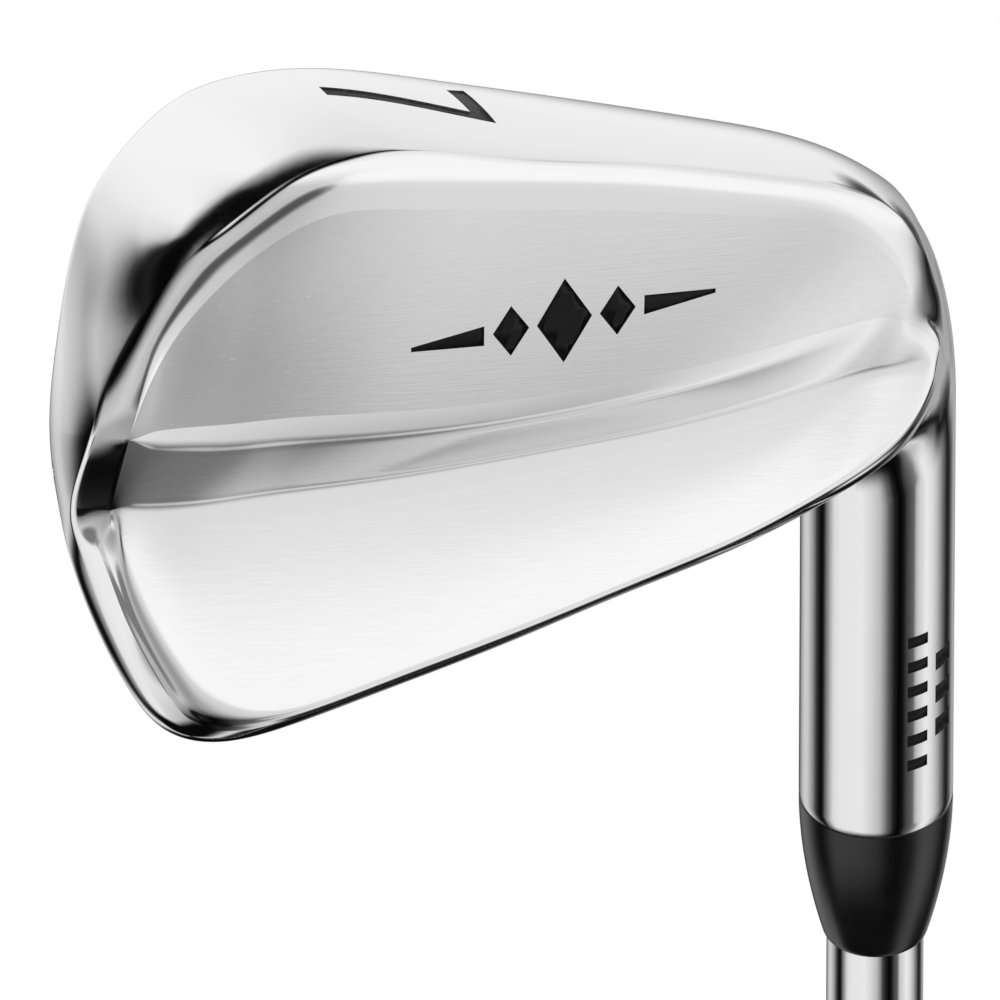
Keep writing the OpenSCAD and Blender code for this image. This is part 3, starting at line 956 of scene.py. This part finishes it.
score = []
for k in range(13):
    q = 6 + 3.4 * k
    u0, u1 = 14 + 0.22 * q, min(74.0, 71 + 0.2 * q - 0.006 * q * q)
    score.append([(u0, q - 0.4), (u1, q - 0.4), (u1, q + 0.4), (u0, q + 0.4)])
lines_cut = prisms("cutter", score, -1.0, 0.4, BLADE, HEAD_MATS, 5)
boolean(head, lines_cut, "DIFFERENCE")


def blocks(name, mats, slot):
    polys = []
    verts, faces = [], []
    for angle, z, wide, tall in ([(-80, HOSEL_Z + 7.5 + 2.7 * k, 2.1, 1.2) for k in range(6)]
                                 + [(-53, HOSEL_Z + 10.5 + 3.6 * k, 2.4, 1.9) for k in range(3)]):
        m = rot(angle, "Z") @ move(HOSEL_R, 0, z)
        b = len(verts)
        for x in (-1.2, 1.2):
            for y, zz in ((-wide / 2, -tall / 2), (wide / 2, -tall / 2), (wide / 2, tall / 2), (-wide / 2, tall / 2)):
                verts.append(tuple(m @ Vector((x, y, zz))))
        faces += [(b, b + 3, b + 2, b + 1), (b + 4, b + 5, b + 6, b + 7)]
        for i in range(4):
            j = (i + 1) % 4
            faces.append((b + i, b + j, b + 4 + j, b + 4 + i))
    return mesh_object(name, verts, faces, mats, [slot] * len(faces), smooth=False)


ticks = blocks("cutter", HEAD_MATS, 5)
drum = tube_cutter(0, HOSEL_R - 0.4, HOSEL_Z - 2.0, HOSEL_Z + 40.0)
weld(drum)
boolean(ticks, drum, "DIFFERENCE", keep=True)
for p in ticks.data.polygons:
    p.material_index = 5
tick_fill = blocks("hosel_mark_paint", [PAINT], 0)
drum2 = tube_cutter(0, HOSEL_R - 0.12, HOSEL_Z - 2.0, HOSEL_Z + 40.0)
weld(drum2)
boolean(tick_fill, drum2, "INTERSECT")
boolean(tick_fill, drum, "DIFFERENCE")
tick_fill.data.materials.clear()
tick_fill.data.materials.append(PAINT)
tick_fill.data.polygons.foreach_set("material_index", np.zeros(len(tick_fill.data.polygons), np.int32))
boolean(head, ticks, "DIFFERENCE")
report_open(tick_fill)
paint(tick_fill, "hosel_mark_fill")
report_open(head)

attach(head, "root")
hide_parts("club_head")
head.data.set_sharp_from_angle(angle=math.radians(50))

# ---------------------------------------------------------------- ferrule, shaft and grip
TIP_R, BUTT_R = 4.35, 7.6
SHAFT_TOP = HOSEL_Z + 29.0
prof = [(TIP_R, FERRULE_Z), (4.55, FERRULE_Z), (4.65, FERRULE_Z + 0.12)]
for k in range(1, 41):
    t = k / 40.0
    prof.append((lerp(4.65, HOSEL_R, 1 - (1 - t) ** 1.9), lerp(FERRULE_Z, HOSEL_Z, t) if k < 40 else HOSEL_Z - 0.1))
prof += [(HOSEL_R - 0.1, HOSEL_Z), (TIP_R, HOSEL_Z)]
collar = revolve("ferrule_collar", prof, 160, [FERRULE])
weld(collar)
report_open(collar)
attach(collar, "root")
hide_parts("ferrule")
collar.data.set_sharp_from_angle(angle=math.radians(40))

prof = [(7.15, 4.0), (BUTT_R - 0.15, 4.0), (BUTT_R, 4.3)]
for k in range(13):
    r0, r1, z = lerp(BUTT_R, TIP_R, k / 13), lerp(BUTT_R, TIP_R, (k + 1) / 13), 292.0 + 36 * k
    prof += [(r0, z - 0.15), (r0 - 0.03, z + 0.1), (r1 + 0.03, z + 1.3), (r1, z + 1.55)]
prof += [(TIP_R, SHAFT_TOP - 0.6), (TIP_R - 0.6, SHAFT_TOP), (TIP_R - 0.75, SHAFT_TOP), (TIP_R - 0.75, 760.0), (7.15, 272.0)]
tube = revolve("shaft_tube", prof, 128, [SHAFT])
weld(tube)
report_open(tube)
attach(tube, "root")
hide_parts("shaft")
tube.data.set_sharp_from_angle(angle=math.radians(35))

# grip: moulded diamond grooves between two plain bands
CAP_R, MOUTH_R, GL, PLUG_R, TAPE_R = 13.5, 9.0, 267.0, 11.1, 7.8
outer = [(CAP_R - 1.4, 0.0), (CAP_R - 0.5, 0.4), (CAP_R, 1.4), (CAP_R, 3.2), (CAP_R - 0.9, 5.0), (CAP_R - 1.1, 8.0),
         (CAP_R - 1.7, 8.4), (CAP_R - 1.7, 9.6), (CAP_R - 1.2, 10.0)]
body = Spline(np.array([[CAP_R - 1.2, 10.0], [lerp(CAP_R, MOUTH_R, 0.34), 55.0], [lerp(CAP_R, MOUTH_R, 0.55), 110.0],
                        [lerp(CAP_R, MOUTH_R, 0.78), 180.0], [MOUTH_R + 0.1, GL - 22]]))
step = 0.75
zs = np.arange(10.6, GL - 22.4, step)
table = np.array([body(x) for x in np.linspace(0, 4, 400)])
outer += [(float(np.interp(z, table[:, 1], table[:, 0])), float(z)) for z in zs]
outer += [(MOUTH_R + 0.1, GL - 22), (MOUTH_R - 0.5, GL - 21.4), (MOUTH_R - 0.5, GL - 20.2), (MOUTH_R + 0.1, GL - 19.6),
          (MOUTH_R + 0.05, GL - 10), (MOUTH_R, GL - 4), (MOUTH_R - 0.4, GL - 1), (MOUTH_R - 0.9, GL)]
inner = [(BUTT_R, GL), (BUTT_R, GL - 10), (TAPE_R, GL - 10), (TAPE_R, 4.0), (PLUG_R, 4.0), (PLUG_R, 0.0)]
NG = 132
gv, gf = [], []
ring_list = outer + inner
for i, (r, z) in enumerate(ring_list):
    for k in range(NG):
        a = 2 * math.pi * k / NG
        d = 0.0
        if i < len(outer) and 16.0 < z < GL - 26.0:
            edge = ramp(16.0, 18.0, z) * (1 - ramp(GL - 28.0, GL - 26.0, z))
            turns, pitch = 11.0, 0.62
            g1 = abs(math.sin(0.5 * (turns * a + pitch * z)))
            g2 = abs(math.sin(0.5 * (turns * a - pitch * z)))
            groove = 1 - ramp(0.10, 0.34, min(g1, g2))
            band = ramp(0.0, 2.0, abs(z - 92.0) - 3.0) * ramp(0.0, 2.0, abs(z - 170.0) - 3.0)
            d = 0.34 * groove * edge * band
        gv.append(((r - d) * math.cos(a), (r - d) * math.sin(a), z))
nrg = len(ring_list)
for i in range(nrg):
    i2 = (i + 1) % nrg
    for k in range(NG):
        k2 = (k + 1) % NG
        gf.append((i * NG + k, i * NG + k2, i2 * NG + k2, i2 * NG + k))
sleeve = mesh_object("grip_sleeve", gv, gf, [RUBBER])
weld(sleeve)
report_open(sleeve)
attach(sleeve, "root")
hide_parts("grip")
sleeve.data.set_sharp_from_angle(angle=math.radians(48))

# ---------------------------------------------------------------- CAD nodes that stay
for name, mat in (("grip_end_cap", CAP), ("grip_tape", TAPE), ("hosel_epoxy", RESIN), ("tip_weight", BRASS),
                  ("shaft_label", LABEL)):
    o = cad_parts[name]
    if len(o.material_slots) == 0:
        o.data.materials.append(mat)
    for s in o.material_slots:
        s.material = mat

# ---------------------------------------------------------------- floor
fm = material("floor_pale", lambda nt, b: None)
nt = Nodes(fm.node_tree)
b = fm.node_tree.nodes["Principled BSDF"]
tcf = nt.add("ShaderNodeTexCoord")
n = nt.noise(tcf.outputs["Object"], 3.0, 2.0)
c = nt.map(n, 0.3, 0.7, 0.86, 0.88)
nt.set(b.inputs["Base Color"], nt.combine(c, c, c))
b.inputs["Roughness"].default_value = 0.9
b.inputs["Specular IOR Level"].default_value = 0.0
b.inputs["Emission Color"].default_value = (1, 1, 1, 1)
b.inputs["Emission Strength"].default_value = 0.5
R = 120.0
fl = bpy.data.meshes.new("floor")
fl.from_pydata([(-R, -R, -0.0008), (R, -R, -0.0008), (R, R, -0.0008), (-R, R, -0.0008)], [], [(0, 1, 2, 3)])
fl.materials.append(fm)
floor = link(bpy.data.objects.new("floor", fl))
floor.visible_glossy = False

# ---------------------------------------------------------------- studio light
world = bpy.data.worlds.new("studio")
scene.world = world
world.use_nodes = True
wt = Nodes(world.node_tree)
world.node_tree.nodes.clear()
wout = wt.add("ShaderNodeOutputWorld")
bg = wt.add("ShaderNodeBackground")
tc = wt.add("ShaderNodeTexCoord")
sep = wt.add("ShaderNodeSeparateXYZ")
wt.set(sep.inputs[0], tc.outputs["Generated"])
az = wt.math("ARCTAN2", sep.outputs[1], sep.outputs[0])
azf = wt.math("ADD", wt.math("DIVIDE", az, 2 * math.pi), 0.5)
el = wt.math("ARCSINE", sep.outputs[2])


def lin(v):
    v = v / 255.0
    return v / 12.92 if v <= 0.04045 else ((v + 0.055) / 1.055) ** 2.4


def deg_stops(stops):
    return [((a + 180.0) / 360.0, lin(v)) for a, v in stops]


low = wt.ramp(azf, deg_stops([(-180, 222), (-170, 234), (-135, 238), (-120, 216), (-108, 190), (-96, 104), (-87, 32),
                              (-79, 2), (-72, 22), (-65, 72), (-58, 95), (-51, 130), (-44, 212), (-34, 240), (-23, 226),
                              (-12, 190), (0, 122), (10, 55), (18, 18), (28, 90), (42, 175), (62, 150), (84, 66), (100, 175),
                              (112, 208), (122, 205), (134, 158), (145, 60), (154, 2), (161, 30), (170, 148), (180, 222)]))
high = wt.ramp(azf, deg_stops([(-180, 222), (-168, 238), (-135, 242), (-114, 228), (-100, 200), (-88, 165), (-79, 150),
                               (-70, 172), (-60, 208), (-50, 222), (-42, 228), (-34, 248), (-18, 254), (-4, 252),
                               (12, 236), (28, 226), (44, 238), (62, 246), (85, 252), (106, 250), (118, 238), (126, 214),
                               (132, 200), (137, 182), (141, 154), (147, 90), (151, 42), (156, 8), (163, 20), (172, 150),
                               (180, 222)]))
nadir = wt.ramp(azf, deg_stops([(-180, 10), (-110, 8), (-80, 8), (-68, 20), (-55, 120), (-45, 190), (-25, 215),
                                (-5, 60), (20, 20), (50, 12), (80, 12), (100, 60), (120, 200), (140, 230), (155, 40),
                                (180, 10)]))
top = wt.ramp(azf, deg_stops([(-180, 15), (-170, 40), (-150, 90), (-125, 150), (-105, 188), (-91, 208), (-77, 190),
                              (-60, 205), (-42, 238), (-18, 252), (0, 252), (12, 240), (28, 228), (44, 232), (62, 244),
                              (85, 250), (106, 250), (120, 242), (132, 226), (138, 214), (142, 204), (146, 188),
                              (150, 168), (154, 142), (158, 108), (163, 58), (169, 12), (180, 10)]))
zenith = wt.ramp(azf, deg_stops([(-180, 30), (-170, 15), (-150, 5), (-135, 25), (-120, 85), (-108, 155), (-95, 190),
                                 (-60, 208), (-42, 238), (-18, 252), (0, 252), (12, 240), (28, 228), (44, 232),
                                 (62, 244), (85, 250), (106, 250), (120, 243), (140, 224), (150, 200), (159, 130),
                                 (166, 60), (172, 30), (180, 30)]))


def lobe(az_deg, el_deg, inner, outer):
    """1 within inner degrees of a direction, fading to 0 at outer degrees."""
    a, e = math.radians(az_deg), math.radians(el_deg)
    d = wt.dot(tc.outputs["Generated"], (math.cos(e) * math.cos(a), math.cos(e) * math.sin(a), math.sin(e)))
    return wt.map(d, math.cos(math.radians(outer)), math.cos(math.radians(inner)), 0.0, 1.0, True)


k_low = wt.map(el, math.radians(-30), math.radians(-6), 0.0, 1.0, True)
k_nadir = wt.map(el, math.radians(-43), math.radians(-55), 0.0, 1.0, True)
k_top = wt.map(el, math.radians(14), math.radians(31), 0.0, 1.0, True)
k_zenith = wt.map(el, math.radians(48), math.radians(60), 0.0, 1.0, True)
above = wt.mixc(k_zenith, wt.mixc(k_top, high, top), zenith)
light = wt.mixc(k_nadir, wt.mixc(k_low, low, above), nadir)
# the dark gap between the light banks overhead
vec = tc.outputs["Generated"]
off = wt.math("ABSOLUTE", wt.dot(vec, (math.cos(math.radians(120)), math.sin(math.radians(120)), 0.0)))
gap = wt.map(off, 0.035, 0.17, 1.0, 0.0, True)
side = wt.map(wt.dot(vec, (math.cos(math.radians(30)), math.sin(math.radians(30)), 0.0)), -0.06, 0.06, 0.0, 1.0, True)
reach = wt.mix(side, wt.map(el, math.radians(57), math.radians(63), 0.0, 1.0, True),
               wt.map(el, math.radians(32), math.radians(38), 0.0, 1.0, True))
gap = wt.math("MULTIPLY", gap, reach)
light = wt.mixc(gap, light, (0.002, 0.002, 0.002))
# softer patches: direction, inner and outer radius, strength, value
for a_, e_, r0, r1, w_, v_ in ((-69, 28, 3, 14, 0.85, 25),
                               (-50, -43, 2, 8, 0.2, 95),       # ledge
                               (-36, 25, 4, 19, 0.9, 255),      # upper panel
                               (-92, -29, 3, 8, 0.95, 10),      # ledge facet at the toe
                               (-48.5, -31.5, 2, 8, 0.75, 224), # ledge at the heel
                               (-112, 2, 8, 18, 0.9, 105),      # corner band of the topline
                               (43, -5, 3, 9, 0.92, 25), (30, -12, 5, 14, 0.92, 20),   # rim at the heel
                               (12, -17, 3, 11, 0.9, 25), (42, -22, 3, 9, 0.9, 35),
                               (37, 3, 3, 10, 0.85, 35), (25, 9, 3, 9, 0.6, 60)):
    v = lin(v_)
    light = wt.mixc(wt.math("MULTIPLY", lobe(a_, e_, r0, r1), w_), light, (v, v, v))
wt.set(bg.inputs["Color"], light)
bg.inputs["Strength"].default_value = 1.0
bg2 = wt.add("ShaderNodeBackground")
bg2.inputs["Color"].default_value = (1, 1, 1, 1)
lp = wt.add("ShaderNodeLightPath")
mx = wt.add("ShaderNodeMixShader")
wt.set(mx.inputs[0], lp.outputs["Is Camera Ray"])
wt.set(mx.inputs[1], bg.outputs[0])
wt.set(mx.inputs[2], bg2.outputs[0])
wt.set(wout.inputs[0], mx.outputs[0])

# ---------------------------------------------------------------- camera
CAM_AZ, CAM_EL = math.radians(-22.0), math.radians(36.0)
back = Vector((math.sin(CAM_AZ) * math.cos(CAM_EL), -math.cos(CAM_AZ) * math.cos(CAM_EL), math.sin(CAM_EL)))
right = Vector((math.cos(CAM_AZ), math.sin(CAM_AZ), 0.0))
up = back.cross(right)
LENS = 1650.0
target = Vector((0, 0, GROUND * MM)) + right * (-33.58 * MM) + up * (-26.9 * MM)
dist = 0.0885 * LENS / 36.0
cam = bpy.data.cameras.new("camera")
cam.lens = LENS
cam.sensor_width = 36.0
cam.clip_start, cam.clip_end = 0.05, 100.0
co = link(bpy.data.objects.new("camera", cam))
co.rotation_mode = "QUATERNION"
co.location = target + back * dist
co.rotation_quaternion = (-back).to_track_quat("-Z", "Y")
scene.camera = co
scene.view_settings.view_transform = "Standard"
scene.view_settings.look = "None"
scene.view_settings.exposure = 0.0
scene.view_settings.gamma = 1.0

bpy.context.view_layer.update()
